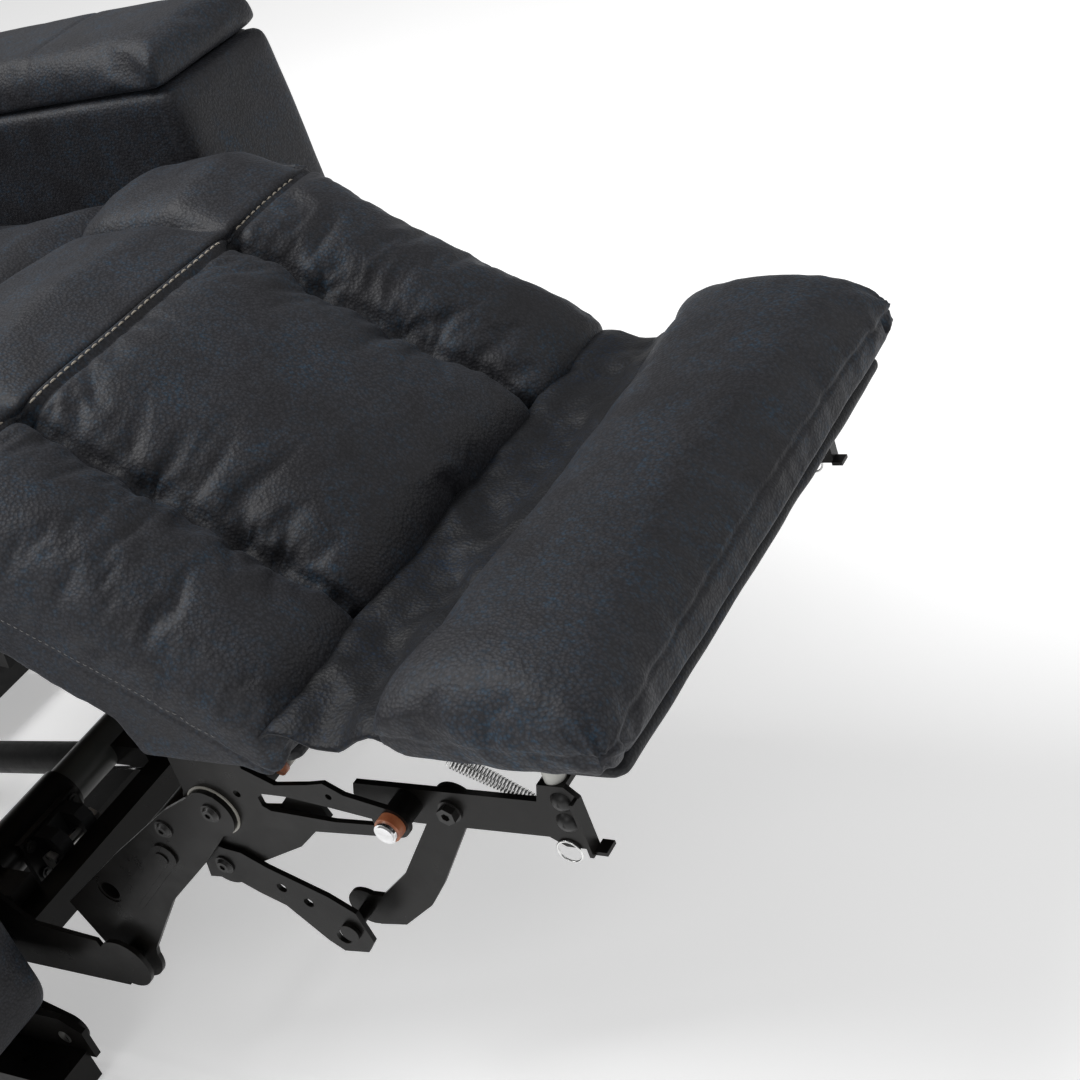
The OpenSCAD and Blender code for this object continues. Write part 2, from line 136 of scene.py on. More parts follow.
class Nodes:
    """one material's node tree, with a short call for each kind of node it uses"""

    def __init__(self, name):
        self.material = bpy.data.materials.new(name)
        self.material.use_nodes = True
        self.tree = self.material.node_tree
        self.shader = self.tree.nodes["Principled BSDF"]
        self.place = self.tree.nodes.new("ShaderNodeTexCoord").outputs["Object"]

    def add(self, kind, values=(), **settings):
        node = self.tree.nodes.new(kind)
        for key, value in settings.items():
            setattr(node, key, value)
        for key, value in dict(values).items():
            if isinstance(value, bpy.types.NodeSocket):
                self.tree.links.new(value, node.inputs[key])
            else:
                node.inputs[key].default_value = value
        return node

    def stretched(self, scale):
        return self.add("ShaderNodeMapping", {"Vector": self.place, "Scale": scale}).outputs[0]

    def noise(self, scale, detail=3.0, place=None, roughness=0.55, distortion=0.0):
        return self.add("ShaderNodeTexNoise", {
            "Vector": place or self.place, "Scale": scale, "Detail": detail,
            "Roughness": roughness, "Distortion": distortion}).outputs["Fac"]

    def cells(self, scale, place=None, feature="F1"):
        return self.add("ShaderNodeTexVoronoi", {"Vector": place or self.place, "Scale": scale},
                        feature=feature).outputs["Distance"]

    def ramp(self, value, stops):
        node = self.add("ShaderNodeValToRGB", {"Fac": value})
        while len(node.color_ramp.elements) < len(stops):
            node.color_ramp.elements.new(0.5)
        for element, (position, colour) in zip(node.color_ramp.elements, stops):
            element.position = position
            element.color = (*colour, 1)
        return node.outputs["Color"]

    def span(self, value, low, high, to_low, to_high):
        return self.add("ShaderNodeMapRange", {
            "Value": value, "From Min": low, "From Max": high,
            "To Min": to_low, "To Max": to_high}).outputs["Result"]

    def math(self, operation, a, b):
        return self.add("ShaderNodeMath", {0: a, 1: b}, operation=operation).outputs[0]

    def mix(self, factor, a, b, kind="MIX"):
        node = self.add("ShaderNodeMix", data_type="RGBA", blend_type=kind)
        for socket, value in ((node.inputs[0], factor), (node.inputs[6], a), (node.inputs[7], b)):
            if isinstance(value, bpy.types.NodeSocket):
                self.tree.links.new(value, socket)
            else:
                socket.default_value = (*value, 1) if isinstance(value, tuple) else value
        return node.outputs[2]

    def colour(self, socket):
        self.tree.links.new(socket, self.shader.inputs["Base Color"])

    def rough(self, socket):
        self.tree.links.new(socket, self.shader.inputs["Roughness"])

    def bump(self, height, distance, strength=1.0, under=None):
        node = self.add("ShaderNodeBump", {"Height": height, "Distance": distance, "Strength": strength})
        if under is not None:
            self.tree.links.new(under, node.inputs["Normal"])
        self.tree.links.new(node.outputs[0], self.shader.inputs["Normal"])
        return node.outputs[0]


def nubuck(name, dark, light, blue, sheen):
    """distressed nubuck: charcoal nap over a fine pebbled grain, with blue showing where it is brushed"""
    m = Nodes(name)
    cloud = m.noise(6, 4, roughness=0.6)
    patch = m.noise(21, 7, roughness=0.68, distortion=0.5)
    nap = m.noise(760, 3, roughness=0.7)
    flecks = m.noise(260, 5, place=m.stretched((1.0, 0.6, 0.8)), roughness=0.8)
    base = m.ramp(m.math("ADD", m.math("MULTIPLY", cloud, 0.55), m.math("MULTIPLY", patch, 0.45)),
                  [(0.36, dark), (0.52, tuple((a + b) / 2 for a, b in zip(dark, light))), (0.68, light)])
    worn = m.span(patch, 0.44, 0.62, 0.0, 1.0)
    spots = m.span(flecks, 0.49, 0.58, 0.0, 1.0)
    toned = m.mix(m.math("MULTIPLY", worn, m.math("MULTIPLY", spots, 0.9)), base, blue)
    pores = m.cells(430, place=m.stretched((1.0, 0.8, 0.9)))
    pits = m.mix(m.span(pores, 0.30, 0.62, 0.0, 0.55), toned, (0.004, 0.004, 0.005))
    m.colour(m.mix(m.span(nap, 0.42, 0.72, 0.0, 0.35), pits, light))
    m.rough(m.span(m.math("ADD", nap, patch), 0.7, 1.3, 0.46, 0.66))
    under = m.bump(m.noise(170, 4, roughness=0.6), 0.0006, 0.55)
    under = m.bump(pores, 0.0006, 0.7, under)
    m.bump(nap, 0.00016, 0.5, under)
    m.shader.inputs["Specular IOR Level"].default_value = 0.24
    m.shader.inputs["Sheen Weight"].default_value = sheen
    m.shader.inputs["Sheen Roughness"].default_value = 0.4
    m.shader.inputs["Sheen Tint"].default_value = (0.75, 0.82, 0.95, 1)
    return m.material


def plain_finish(name, dark, light, rough, scale, grain, depth, metal=0.0, specular=0.5, coat=0.0):
    """paint, plating or plastic: cloudy colour, uneven gloss and a fine surface texture"""
    m = Nodes(name)
    m.colour(m.ramp(m.noise(scale, 4), [(0.35, dark), (0.68, light)]))
    m.rough(m.span(m.noise(scale * 3.1, 5, roughness=0.65), 0.3, 0.7, *rough))
    under = m.bump(m.noise(scale * 6, 3), depth * 2.5, 0.3)
    m.bump(m.noise(grain, 3), depth, 0.6, under)
    m.shader.inputs["Metallic"].default_value = metal
    m.shader.inputs["Specular IOR Level"].default_value = specular
    m.shader.inputs["Coat Weight"].default_value = coat
    m.shader.inputs["Coat Roughness"].default_value = 0.25
    return m.material


def brushed(name, dark, light, rough, along):
    """plated metal with fine draw lines across the given stretch"""
    m = Nodes(name)
    lines = m.noise(90, 4, place=m.stretched(along))
    m.colour(m.ramp(m.math("ADD", m.math("MULTIPLY", lines, 0.5), m.math("MULTIPLY", m.noise(60, 3), 0.5)),
                    [(0.35, dark), (0.65, light)]))
    m.rough(m.span(lines, 0.3, 0.7, *rough))
    m.bump(lines, 0.00006, 0.5)
    m.shader.inputs["Metallic"].default_value = 1.0
    return m.material


def plywood():
    m = Nodes("birch_plywood")
    grain = m.noise(22, 6, place=m.stretched((0.25, 3.0, 3.0)), roughness=0.7, distortion=1.2)
    plies = m.add("ShaderNodeTexWave", {"Vector": m.place, "Scale": 95.0, "Distortion": 0.6},
                  bands_direction="Z").outputs["Fac"]
    tan = m.ramp(grain, [(0.3, (0.30, 0.19, 0.10)), (0.7, (0.52, 0.37, 0.22))])
    m.colour(m.mix(m.span(plies, 0.3, 0.9, 0.0, 0.35), tan, (0.20, 0.12, 0.06)))
    m.rough(m.span(grain, 0.3, 0.7, 0.55, 0.75))
    m.bump(grain, 0.0003, 0.5)
    return m.material


def woven(name, dark, light, threads, rough=(0.75, 0.9)):
    """plain weave from two crossed sets of bands, for dust covers and thread"""
    m = Nodes(name)
    across = m.add("ShaderNodeTexWave", {"Vector": m.place, "Scale": threads, "Distortion": 0.4},
                   bands_direction="X").outputs["Fac"]
    along = m.add("ShaderNodeTexWave", {"Vector": m.place, "Scale": threads, "Distortion": 0.4},
                  bands_direction="Y").outputs["Fac"]
    weave = m.math("MULTIPLY", across, along)
    m.colour(m.ramp(m.math("ADD", m.math("MULTIPLY", weave, 0.6), m.math("MULTIPLY", m.noise(45, 4), 0.5)),
                    [(0.25, dark), (0.75, light)]))
    m.rough(m.span(weave, 0.0, 1.0, *rough))
    m.bump(weave, 0.0003, 0.7)
    return m.material


NUBUCK = nubuck("nubuck", (0.0135, 0.0130, 0.0150), (0.039, 0.0405, 0.048), (0.016, 0.041, 0.070), 0.05)
# nubuck_shaded: the same nubuck, made darker with shade painted into its colour, for pieces that sit in
# shade under and between the pads
NUBUCK_PAINTED_SHADE = nubuck("nubuck_shaded", (0.0062, 0.0062, 0.0070), (0.0150, 0.0160, 0.0195),
                     (0.006, 0.018, 0.040), 0.02)
LINING = woven("dust_cover", (0.006, 0.006, 0.007), (0.022, 0.022, 0.024), 420)
THREAD = woven("cream_thread", (0.36, 0.32, 0.26), (0.66, 0.60, 0.50), 900, (0.5, 0.7))
THREAD_GREY = woven("grey_thread", (0.13, 0.13, 0.13), (0.30, 0.29, 0.28), 900, (0.5, 0.7))
STEEL = plain_finish("black_powder_coat", (0.0030, 0.0027, 0.0024), (0.0062, 0.0056, 0.0050),
                     (0.26, 0.40), 14, 1500, 0.00008, specular=0.17)
GREY_PAINT = plain_finish("grey_paint", (0.030, 0.031, 0.029), (0.048, 0.049, 0.045), (0.32, 0.46), 18, 1400,
                          0.00006, specular=0.35)
FASTENER = plain_finish("black_oxide", (0.006, 0.006, 0.006), (0.014, 0.013, 0.012), (0.28, 0.45), 60, 2200,
                        0.00005, specular=0.35)
ZINC = brushed("zinc_plate", (0.34, 0.34, 0.33), (0.62, 0.61, 0.58), (0.24, 0.42), (1, 4, 1))
CHROME = brushed("chrome", (0.62, 0.62, 0.62), (0.82, 0.82, 0.83), (0.07, 0.16), (3, 1, 3))
WIRE = brushed("spring_wire", (0.48, 0.48, 0.48), (0.74, 0.74, 0.73), (0.16, 0.30), (2, 2, 2))
PLASTIC = plain_finish("moulded_black", (0.004, 0.004, 0.0042), (0.008, 0.008, 0.0085), (0.40, 0.58), 30,
                       1800, 0.0001, specular=0.28)
NYLON = plain_finish("pale_nylon", (0.26, 0.25, 0.22), (0.40, 0.39, 0.35), (0.35, 0.5), 50, 1500,
                     0.00005)
BRONZE = plain_finish("bush_brown", (0.26, 0.075, 0.030), (0.42, 0.15, 0.065), (0.30, 0.48), 90, 1900,
                      0.00006)
BUMPER = plain_finish("grey_bumper", (0.34, 0.34, 0.32), (0.50, 0.50, 0.47), (0.5, 0.7), 70, 1500,
                      0.0001)
RUBBER = plain_finish("black_rubber", (0.008, 0.008, 0.008), (0.018, 0.018, 0.018), (0.6, 0.85), 60, 1300,
                      0.00015)
BUTTON = plain_finish("soft_grey", (0.30, 0.31, 0.32), (0.44, 0.45, 0.46), (0.45, 0.6), 90, 1600,
                      0.00006)
WOOD = plywood()

SLOT_MATERIALS = {
    "black_steel": STEEL, "grey_paint": GREY_PAINT, "dark_fasteners": FASTENER, "zinc": ZINC,
    "chromed_rod": CHROME, "spring_wire": WIRE, "black_plastic": PLASTIC, "nylon": NYLON,
    "bronze_bush": BRONZE, "grey_bumper": BUMPER, "rubber": RUBBER, "plywood": WOOD, "wrapped_board": LINING,
    "button_plastic": BUTTON, "upholstery": NUBUCK}


def finish_nodes():
    """the CAD's own pieces keep their shape and get their material and a fine rounded edge"""
    slots = {part["node"]: part["material_slot"] for part in frame["record"]["subparts"]}
    for node, obj in frame["nodes"].items():
        obj.data.materials.clear()
        obj.data.materials.append(SLOT_MATERIALS[slots[node]])
        bevel = obj.modifiers.new("edge", "BEVEL")
        bevel.width = 0.0005
        bevel.segments = 2
        bevel.limit_method = "ANGLE"
        bevel.angle_limit = math.radians(40)
        bevel.harden_normals = False


# ---------------------------------------------------------------- mesh helpers

def new_object(name, verts, faces, material):
    """a new mesh piece, in the scene and with its material"""
    mesh = bpy.data.meshes.new(name)
    mesh.from_pydata([tuple(v) for v in verts], [], faces)
    mesh.validate()
    mesh.update()
    obj = bpy.data.objects.new(name, mesh)
    bpy.context.scene.collection.objects.link(obj)
    mesh.materials.append(material)
    mesh.shade_smooth()
    return obj


def copy_node(node, name, material):
    """a piece that starts as the CAD node's shape and is shown in its place"""
    obj = bpy.data.objects.new(name, frame["nodes"][node].data.copy())
    bpy.context.scene.collection.objects.link(obj)
    obj.data.materials.clear()
    obj.data.materials.append(material)
    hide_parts(node)
    return obj


def points(obj):
    """the mesh's points as one array, in metres"""
    co = np.empty(len(obj.data.vertices) * 3)
    obj.data.vertices.foreach_get("co", co)
    return co.reshape(-1, 3)


def put_points(obj, co):
    """moves the mesh's points to co"""
    obj.data.vertices.foreach_set("co", co.ravel())
    obj.data.update()


def normals(obj):
    """the normal at each of the mesh's points"""
    n = np.empty(len(obj.data.vertices) * 3)
    obj.data.vertices.foreach_get("normal", n)
    return n.reshape(-1, 3)


def seat_mm(co):
    """the reverse of seat(), for an array of points"""
    return (co - SEAT) / MM


def applied(obj):
    """the piece's mesh with its modifiers made real"""
    view = bpy.context.evaluated_depsgraph_get()
    mesh = bpy.data.meshes.new_from_object(obj.evaluated_get(view))
    obj.modifiers.clear()
    obj.data = mesh
    mesh.shade_smooth()


def remesh(obj, voxel):
    """even voxels of the given size, in metres"""
    mod = obj.modifiers.new("remesh", "REMESH")
    mod.mode = "VOXEL"
    mod.voxel_size = voxel
    applied(obj)


def relax(obj, times):
    """rounds off the form by smoothing it a number of times"""
    mod = obj.modifiers.new("smooth", "SMOOTH")
    mod.iterations = times
    mod.factor = 0.5
    applied(obj)


def subdivide(obj):
    """one level of subdivision"""
    mod = obj.modifiers.new("subdivide", "SUBSURF")
    mod.levels = mod.render_levels = 1
    applied(obj)


def swell(obj, pressure, cap, pinned, slack=0.0, frames=20):
    """a cloth simulation puffs the form up; points in pinned stay, and none moves further than cap"""
    start = points(obj)
    group = obj.vertex_groups.new(name="pinned")
    held = pinned(seat_mm(start))
    group.add([int(i) for i in np.nonzero(held)[0]], 1.0, "REPLACE")
    mod = obj.modifiers.new("cloth", "CLOTH")
    cloth = mod.settings
    cloth.use_pressure = True
    cloth.uniform_pressure_force = pressure
    cloth.effector_weights.gravity = 0
    cloth.vertex_group_mass = group.name
    cloth.shrink_min = -slack
    cloth.quality = 4
    cloth.bending_stiffness = 0.3
    for i in range(1, frames + 1):
        bpy.context.scene.frame_set(i)
    view = bpy.context.evaluated_depsgraph_get()
    made = obj.evaluated_get(view).to_mesh()
    co = np.empty(len(made.vertices) * 3)
    made.vertices.foreach_get("co", co)
    move = co.reshape(-1, 3) - start
    far = np.linalg.norm(move, axis=1, keepdims=True) + 1e-9
    obj.modifiers.clear()
    obj.vertex_groups.clear()
    put_points(obj, start + move / far * cap * np.tanh(far / cap))
    bpy.context.scene.frame_set(1)


def push(obj, depth):
    """moves each point along its normal by depth(points in seat mm, normals), in millimetres"""
    co = points(obj)
    n = normals(obj)
    put_points(obj, co + n * (depth(seat_mm(co), n) * MM)[:, None])


def fuzz(s, size, seed=0.0, stretch=(1, 1, 1)):
    """smooth noise, about -1 to 1, with features of the given size in millimetres"""
    q = s * (np.array(stretch) / size) + seed
    return np.array([noise.noise(Vector(p)) for p in q])


def well(distance, width):
    """1 at no distance, falling to 0 over about twice the width"""
    return np.exp(-(distance / width) ** 2)


def lay_on(target, path):
    """each point of path, moved to the nearest place on the target's surface, with its normal"""
    tree = BVHTree.FromObject(target, bpy.context.evaluated_depsgraph_get())
    laid = []
    for p in path:
        place, normal, _, _ = tree.find_nearest(p)
        laid.append((place, normal))
    return laid


def walk(path, step):
    """points at even steps along a polyline"""
    path = [Vector(p) for p in path]
    out = [path[0].copy()]
    left = step
    for a, b in zip(path, path[1:]):
        span = (b - a).length
        done = 0.0
        while span - done >= left:
            done += left
            out.append(a.lerp(b, done / span))
            left = step
        left -= span - done
    return out


def stitches(name, rows, body, target, material=None, length=6.0, gap=2.2, radius=0.85):
    """raised threads laid end to end along each row of points, on the target's surface"""
    sides, rings = 6, 5
    verts, faces = [], []
    for row in rows:
        marks = lay_on(target, walk(row, (length + gap) * MM))
        for (a, n), (b, _) in zip(marks, marks[1:]):
            along = b - a
            if along.length < 1e-6:
                continue
            reach = along.normalized() * length * MM
            side = reach.cross(n).normalized()
            first = len(verts)
            for i in range(rings):
                t = i / (rings - 1)
                girth = radius * MM * (0.35 + 0.65 * math.sin(math.pi * (0.12 + 0.76 * t)))
                centre = a + reach * t + n * (girth * 0.55 - (2 * t - 1) ** 4 * 0.5 * MM)
                for j in range(sides):
                    u = 2 * math.pi * j / sides
                    verts.append(centre + side * (girth * math.cos(u)) + n * (girth * math.sin(u)))
            for i in range(rings - 1):
                for j in range(sides):
                    k = (j + 1) % sides
                    low, high = first + i * sides, first + (i + 1) * sides
                    faces.append((low + j, low + k, high + k, high + j))
            faces.append(tuple(first + j for j in reversed(range(sides))))
            faces.append(tuple(first + (rings - 1) * sides + j for j in range(sides)))
    obj = new_object(name, verts, faces, material or THREAD)
    if body:
        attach(obj, body)
    return obj


def tube(name, path, radius, body, material, sides=20):
    """a round tube swept along a path, riding on body"""
    path = [Vector(p) for p in path]
    verts, faces = [], []
    count = len(path)
    up = Vector((0.31, 0.2, 0.93))
    for i, p in enumerate(path):
        ahead = path[i + 1] if i + 1 < count else p
        behind = path[i - 1] if i else p
        along = (ahead - behind).normalized()
        side = along.cross(up).normalized()
        rise = side.cross(along).normalized()
        for j in range(sides):
            u = 2 * math.pi * j / sides
            verts.append(p + side * (radius * math.cos(u)) + rise * (radius * math.sin(u)))
    for i in range(count - 1):
        for j in range(sides):
            k = (j + 1) % sides
            low, high = i * sides, (i + 1) * sides
            faces.append((low + j, low + k, high + k, high + j))
    faces.append(tuple(reversed(range(sides))))
    faces.append(tuple((count - 1) * sides + j for j in range(sides)))
    obj = new_object(name, verts, faces, material)
    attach(obj, body)
    return obj


# ---------------------------------------------------------------- leg rest

CHANNEL_X = 133.5          # the two sewn channels of the calf pad, from the middle plane
CALF_TOP = ((321, 162), (80, -4))   # the pad's top line, rear to front, as Y and Z
CALF_LENGTH = 292          # that line's length, rounded down
GUSSET_HALF = 257          # half the width of the fabric panel
# the panel's sagging profile, rear to front, as Y and Z
GUSSET_LINE = ((98, -26), (84, -15), (70, -14), (52, -21), (30, -22), (12, -13), (-2, -10), (-14, -18))


def calf_slope():
    """the top line's exact length, and its direction forward as Y and Z"""
    (y1, z1), (y0, z0) = CALF_TOP
    span = math.hypot(y1 - y0, z1 - z0)
    return span, (y0 - y1) / span, (z0 - z1) / span


def calf_frame(s):
    """how far forward along the slope, and how high above the pad's top line, each point is"""
    y1, z1 = CALF_TOP[0]
    span, dy, dz = calf_slope()
    t = (s[:, 1] - y1) * dy + (s[:, 2] - z1) * dz
    h = (s[:, 1] - y1) * dz - (s[:, 2] - z1) * dy
    return t, h, span


def on_calf(x, t, h=0.0):
    """the point at x, t along the slope and h above it"""
    y1, z1 = CALF_TOP[0]
    _, dy, dz = calf_slope()
    return seat(x, y1 + dy * t + dz * h, z1 + dz * t - dy * h)


def seam_gap(s, t):
    """the distance across to the nearer channel seam, which wanders a little as sewn seams do"""
    wander = np.array([noise.noise(Vector((v / 38, 4.0, 1.0 if x > 0 else 6.0)))
                       for v, x in zip(t, s[:, 0])])
    return np.abs(np.abs(s[:, 0]) - CHANNEL_X - 6.0 * wander)


def rolled(u):
    """0 inside, rising to 1 at the edge along a quarter circle"""
    return 1 - np.sqrt(1 - np.clip(u, 0, 1) ** 2)


def calf_pad():
    """three puffed channels with pulled seams, rolled down at the sides and front"""
    obj = copy_node("calf_pad", "calf_cushion", NUBUCK)
    remesh(obj, 0.006)
    relax(obj, 4)
    co = points(obj)
    t, h, span = calf_frame(seat_mm(co))
    upper = np.clip((h + 62) / 50, 0, 1)
    x = seat_mm(co)[:, 0]
    side = rolled((np.abs(x) - 212) / 50) * np.where(x > 0, 0.3, 1.0)
    front = rolled((t - span + 40) / 46)
    drop = -(30 * side + 15 * front) * upper
    _, dy, dz = calf_slope()
    away = np.array([0, dz, -dy])
    put_points(obj, co + away * (drop * MM)[:, None])

    def groove(s, n):
        t = calf_frame(s)[0]
        facing = np.clip(n[:, 2] * 0.9 - n[:, 1] * 0.8, 0, 1)
        return -facing * 15 * np.exp(-seam_gap(s, t) / 9)

    push(obj, groove)

    def pinned(s):
        t, h, _ = calf_frame(s)
        return (seam_gap(s, t) < 4) & (h > -60) | (t < 12) | (h < -50)

    swell(obj, 10, 0.024, pinned, slack=0.05)
    subdivide(obj)
    tufts = [(-CHANNEL_X, 118), (-CHANNEL_X, 196), (-CHANNEL_X, 226),
             (CHANNEL_X, 92), (CHANNEL_X, 168), (CHANNEL_X, 196)]

    def details(s, n):
        t, h, span = calf_frame(s)
        facing = np.clip(n[:, 2] * 0.9 - n[:, 1] * 0.8, 0, 1)
        gap = seam_gap(s, t)
        out = -9.0 * np.exp(-gap / 4.0) * facing
        out += facing * 2.6 * fuzz(s, 15, 3.1, (0.3, 1, 1)) * np.exp(-gap / 17)
        for x, along in tufts:
            dx, dt = s[:, 0] - x, t - along
            r = np.hypot(dx, dt)
            angle = np.arctan2(dt, dx)
            rays = np.cos(angle * 5 + x * 0.1 + along) * 0.6 + np.cos(angle * 8 + along * 2) * 0.4
            out += facing * (-6.0 * well(r, 13) + 3.2 * rays * np.exp(-r / 20) * (1 - well(r, 5)))
        band = 11 - 6 * (np.abs(s[:, 0]) > CHANNEL_X)
        out -= facing * (5.0 * np.exp(-np.abs(t - band) / 2.2) * (h > -30))
        out += facing * 2.4 * np.clip((band - t) / 6, 0, 1)
        hem = h + 66 - 14 * np.clip(t / span, 0, 1)
        out -= 1.6 * well(hem, 2.0) * (np.abs(s[:, 0]) > 238)
        out += 1.5 * fuzz(s, 75, 9.0) + 0.55 * fuzz(s, 24, 5.0)
        return out

    push(obj, details)
    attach(obj, "calf")
    return obj


def foot_pad():
    """a domed pad that falls away at its ends, with a seam round its lower rim"""
    obj = copy_node("foot_pad", "footrest_cushion", NUBUCK)
    remesh(obj, 0.005)
    relax(obj, 5)
    co = points(obj)
    s = seat_mm(co)
    end = np.clip((np.abs(s[:, 0]) - 195) / 65, 0, 1)
    dome = np.sqrt(np.clip(1 - ((s[:, 1] + 82) / 88) ** 2, 0, 1))
    s[:, 2] += 24 * dome * np.clip((s[:, 2] + 26) / 26, 0, 1)
    taper = np.where(s[:, 0] > 0, 0.2, 0.42)
    s[:, 2] = -14 + (s[:, 2] + 14) * (1 - taper * end ** 3)
    s[:, 1] = -90 + (s[:, 1] + 90) * (1 - 0.09 * end ** 8)
    put_points(obj, s * MM + SEAT)
    swell(obj, 7, 0.009, lambda s: s[:, 2] < -26, slack=0.02)
    subdivide(obj)

    def details(s, n):
        x, y, z = np.abs(s[:, 0]), s[:, 1], s[:, 2]
        rim = (y < -150) | (x > 238)
        seam = -9.0 - 4.0 * np.clip((x - 200) / 50, 0, 1)
        low = np.clip((seam - z) / 3, 0, 1)
        out = -2.4 * well(z - seam, 1.6) * rim - 1.3 * low * rim
        ends = np.clip((x - 205) / 50, 0, 1)
        r = np.hypot(x - 262, y + 176)
        angle = np.arctan2(y + 176, x - 262)
        out += 2.4 * np.cos(angle * 9) * np.exp(-r / 24) * (n[:, 2] < 0.97)
        out -= 4.5 * well(x - 236 - (z + 20) * 0.3, 2.4) * (y < -150) * low
        out += ends * 1.2 * fuzz(s, 16, 2.0, (0.4, 1, 1))
        out += 1.8 * fuzz(s, 95, 4.0, (0.5, 1, 1)) + 0.5 * fuzz(s, 27, 7.0)
        return out

    push(obj, details)
    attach(obj, "foot")


def wrapped_boards():
    """the boards under the two pads and the back's frame, each in its loose fabric wrap"""
    for node, name, body in (("foot_board", "footrest_board_wrap", "foot"),
                             ("calf_board", "calf_board_wrap", "calf"),
                             ("back_frame", "back_frame_wrap", "back")):
        # the wraps use the nubuck copy with painted shade, darker than the same fabric on the pads
        obj = copy_node(node, name, NUBUCK_PAINTED_SHADE)
        remesh(obj, 0.005)
        relax(obj, 3)
        push(obj, lambda s, n: 1.0 + 1.4 * fuzz(s, 42, 3.0, (1, 1, 0.3)) * (n[:, 2] < 0.3))
        subdivide(obj)
        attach(obj, body)


def knee_pad():
    """the part over the knee joint, which shortens front to rear as the leg rest folds"""
    obj = copy_node("knee_pad", "knee_cushion", NUBUCK)
    remesh(obj, 0.007)
    relax(obj, 4)
    co = points(obj)
    s = seat_mm(co)
    s[:, 1] -= 7 * np.clip((345 - s[:, 1]) / 20, 0, 1)
    put_points(obj, s * MM + SEAT)
    subdivide(obj)

    def details(s, n):
        gap = np.abs(np.abs(s[:, 0]) - CHANNEL_X)
        facing = np.clip(n[:, 2], 0, 1)
        middle = np.clip((s[:, 1] - 322) / 60, 0, 1)
        out = -facing * (15 * np.exp(-gap / 8) * middle + 4 * np.exp(-gap / 4))
        wide = np.where(np.abs(s[:, 0]) < CHANNEL_X, CHANNEL_X, 63)
        puff = np.sqrt(np.clip(gap / wide, 0, 1))
        out += facing * middle * 14 * puff
        out += facing * 4 * well(s[:, 1] - 319, 7)
        out -= 26 * rolled((np.abs(s[:, 0]) - 214) / 50) * facing
        return out + 1.6 * fuzz(s, 60, 6.0) + 0.5 * fuzz(s, 22, 2.0)

    push(obj, details)
    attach(obj, "carriage")
    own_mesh(obj)


def gusset():
    """the loose fabric panel that bridges the calf pad's front edge and the footrest pad's rear edge"""
    across, along = 22, 150
    line = [seat(0, y, z) for y, z in GUSSET_LINE]
    marks = walk(line, sum((b - a).length for a, b in zip(line, line[1:])) / (across + 0.01))
    verts = []
    for j in range(along + 1):
        v = j / along
        x = -GUSSET_HALF + 2 * GUSSET_HALF * v
        near = min(v, 1 - v)
        end = math.exp(-near / 0.03)
        for i, p in enumerate(marks):
            u = i / (len(marks) - 1)
            inner = math.sin(math.pi * u) ** 0.7
            fold = noise.noise(Vector((x / 46 + u * 2.6, u * 1.3, 3.0)))
            fine = noise.noise(Vector((x / 19 - u * 3.4, u * 3.0, 8.0)))
            ridge = 1 - abs(noise.noise(Vector((x / 30 + u * 3.2, u * 1.0, 12.0)))) * 2
            lift = inner * ((7.5 * fold + 3.0 * fine + 2.5 * ridge) * (1 - end) - 9.0 * end)
            verts.append(p + Vector((x * MM, 0, lift * MM)))
    cols = len(marks)
    faces = [(j * cols + i, j * cols + i + 1, (j + 1) * cols + i + 1, (j + 1) * cols + i)
             for j in range(along) for i in range(cols - 1)]
    # the panel uses the nubuck copy with painted shade, for the shade in the valley between the pads
    obj = new_object("foot_gusset", verts, faces, NUBUCK_PAINTED_SHADE)
    mod = obj.modifiers.new("thick", "SOLIDIFY")
    mod.thickness = 0.0022
    mod.offset = 0
    applied(obj)
    rows = []
    for side in (-1, 1):
        edge = [verts[(0 if side < 0 else along) * cols + i].copy() for i in range(3, cols - 3)]
        for p in edge:
            p.x -= side * 6 * MM
        rows.append(edge)
    sewn = stitches("gusset_hem_stitches", rows, None, obj, THREAD_GREY, length=4.2, gap=1.8, radius=0.5)
    for piece in (obj, sewn):
        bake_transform(piece)


def knee_stitches(calf_piece):
    """the cream topstitching beside the felled seam, along the calf pad's rear edge"""
    rows = [[on_calf(x, 5, 3) for x in range(-126, 127, 6)],
            [on_calf(x, 0, 3) for x in range(142, 240, 6)],
            [on_calf(x, 0, 3) for x in range(-238, -141, 6)]]
    stitches("knee_seam_stitches", rows, "calf", calf_piece)
    hem = [[on_calf(side * 262, t, -60 + 14 * t / CALF_LENGTH) for t in range(20, CALF_LENGTH - 20, 6)]
           for side in (-1, 1)]
    stitches("calf_hem_stitches", hem, "calf", calf_piece, THREAD_GREY, length=3.6, gap=1.6, radius=0.35)


# ---------------------------------------------------------------- seat, arms and back

SEAT_SEAM_Z = 128              # the seam round the seat cushion's sides
BACK_TILT = math.radians(25)   # how far the back leans at rest
BACK_HINGE = (1005, 40)        # as Y and Z


def seat_cushion():
    """the puffed seat, with one seam round its sides"""
    obj = copy_node("seat_cushion", "seat_cushion_cover", NUBUCK)
    remesh(obj, 0.009)
    relax(obj, 5)
    swell(obj, 5, 0.018, lambda s: (s[:, 2] < 62) | (s[:, 1] > 905), slack=0.01)
    subdivide(obj)

    def details(s, n):
        side = 1 - np.abs(n[:, 2])
        out = -2.0 * well(s[:, 2] - SEAT_SEAM_Z, 3.0) * side
        return out + 1.6 * fuzz(s, 90, 1.0) + 0.5 * fuzz(s, 26, 2.0)

    push(obj, details)
    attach(obj, "carriage")


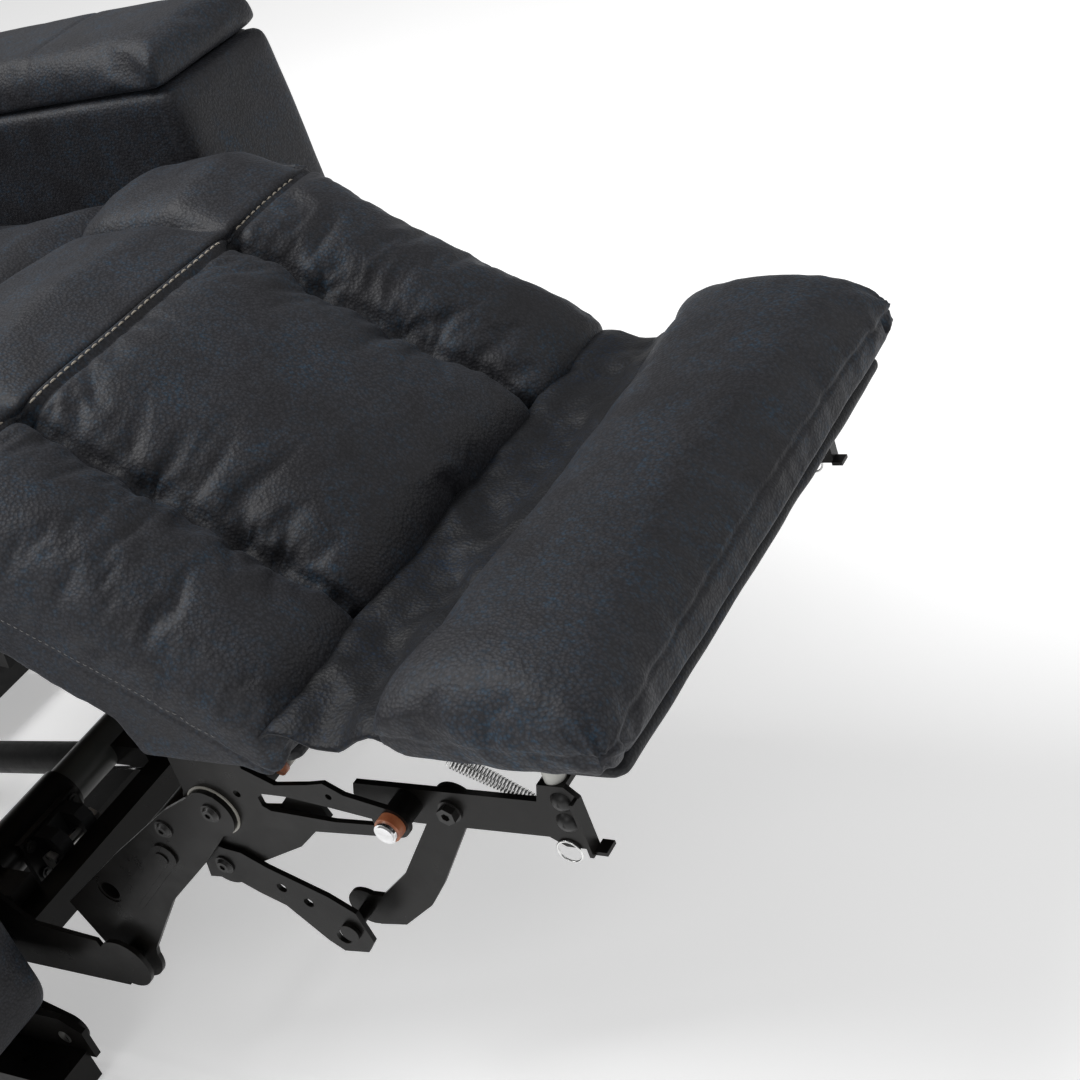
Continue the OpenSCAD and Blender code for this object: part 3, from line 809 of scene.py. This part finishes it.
def arms():
    """the plain arm panels, their puffed top pads and the two side pockets"""
    for node, name, voxel in (("arm_boxes", "arm_panels", 0.010), ("arm_pads", "arm_top_pads", 0.008)):
        obj = copy_node(node, name, NUBUCK)
        remesh(obj, voxel)
        relax(obj, 3)
        if node == "arm_pads":
            swell(obj, 5, 0.012, lambda s: s[:, 2] < 240, slack=0.01)
        subdivide(obj)

        def details(s, n, node=node):
            out = 0.9 * fuzz(s, 95, 3.0) + 0.3 * fuzz(s, 25, 2.0)
            if node == "arm_boxes":
                front = well(s[:, 1] - 486, 3.0)
                out -= 2.2 * front * (np.abs(n[:, 1]) < 0.6)
                out += 3.0 * np.clip(n[:, 0] * np.sign(s[:, 0]), 0, 1) * np.sin(
                    np.clip((s[:, 2] + 330) / 560, 0, 1) * math.pi)
            else:
                out -= 1.8 * well(s[:, 1] - 640, 3.0) * (n[:, 2] > 0)
            return out

        push(obj, details)
        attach(obj, "carriage")
    # the pockets use the nubuck copy with painted shade, darker than the same fabric in light
    pocket = copy_node("side_pockets", "side_pocket_covers", NUBUCK_PAINTED_SHADE)
    remesh(pocket, 0.006)
    relax(pocket, 3)
    push(pocket, lambda s, n: 0.9 * fuzz(s, 40, 5.0) - 1.2 * well(s[:, 2] - np.max(s[:, 2]) + 26, 2.5))
    subdivide(pocket)
    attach(pocket, "carriage")


def back_rest():
    """the three puffed back cushions, each pinned along its rear, and the plain outer panel"""
    for node in ("lumbar_cushion", "shoulder_cushion", "head_cushion"):
        obj = copy_node(node, node + "_cover", NUBUCK)
        remesh(obj, 0.009)
        relax(obj, 5)

        def pinned(s):
            back, up = s[:, 1] - BACK_HINGE[0], s[:, 2] - BACK_HINGE[1]
            return back * math.cos(BACK_TILT) - up * math.sin(BACK_TILT) > 8

        swell(obj, 5, 0.022, pinned, slack=0.015)
        subdivide(obj)
        push(obj, lambda s, n: 2.0 * fuzz(s, 85, 2.0) + 0.7 * fuzz(s, 28, 4.0, (1, 1, 2.2)))
        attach(obj, "back")
    shell = copy_node("back_shell", "back_outer_panel", NUBUCK)
    remesh(shell, 0.010)
    relax(shell, 2)
    subdivide(shell)
    push(shell, lambda s, n: 1.4 * fuzz(s, 120, 3.0) + 0.3 * fuzz(s, 30, 2.0))
    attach(shell, "back")


# ---------------------------------------------------------------- springs

def coil_springs():
    """closely wound extension springs below the footrest pad, one each side"""
    verts, faces = [], []
    turns, pitch, wire, sides, per_turn = 26, 2.5, 0.78, 6, 16
    start = Vector((205.5, -8, -78))
    lean = math.radians(118.9)
    along = Vector((0, -math.sin(lean), math.cos(lean)))
    one = Vector((1, 0, 0))
    two = along.cross(one)
    for mirror in (1, -1):
        first = len(verts)
        count = turns * per_turn
        for i in range(count + 1):
            a = 2 * math.pi * i / per_turn
            radius = 6.0 - 2.4 * i / count
            out = one * math.cos(a) + two * math.sin(a)
            centre = start + along * (pitch * i / per_turn) + out * radius
            for j in range(sides):
                u = 2 * math.pi * j / sides
                p = centre + out * (wire * math.cos(u)) + along * (wire * math.sin(u))
                verts.append(seat(p.x * mirror, p.y, p.z))
        for i in range(count):
            for j in range(sides):
                k = (j + 1) % sides
                low, high = first + i * sides, first + (i + 1) * sides
                faces.append((low + j, low + k, high + k, high + j))
    obj = new_object("spring_coils", verts, faces, WIRE)
    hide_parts("coil_springs")
    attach(obj, "foot")


def bar_trim():
    """the pale sleeve and brown cap on the near end of the calf plates' cross bar"""
    for name, near, far, radius, material, slot in (
            ("bar_sleeve", -222, -207, 0.0045, NYLON, "nylon"),
            ("bar_cap", -227, -222, 0.0055, BRONZE, "bronze_bush")):
        path = [seat(x, 128.5, -84) for x in (near, (near + far) / 2, far)]
        piece = tube(name, path, radius, "calf", material)


make_camera()
make_studio()
finish_nodes()
calf = calf_pad()
knee_stitches(calf)
foot_pad()
wrapped_boards()
knee_pad()
gusset()
seat_cushion()
arms()
back_rest()
coil_springs()
bar_trim()
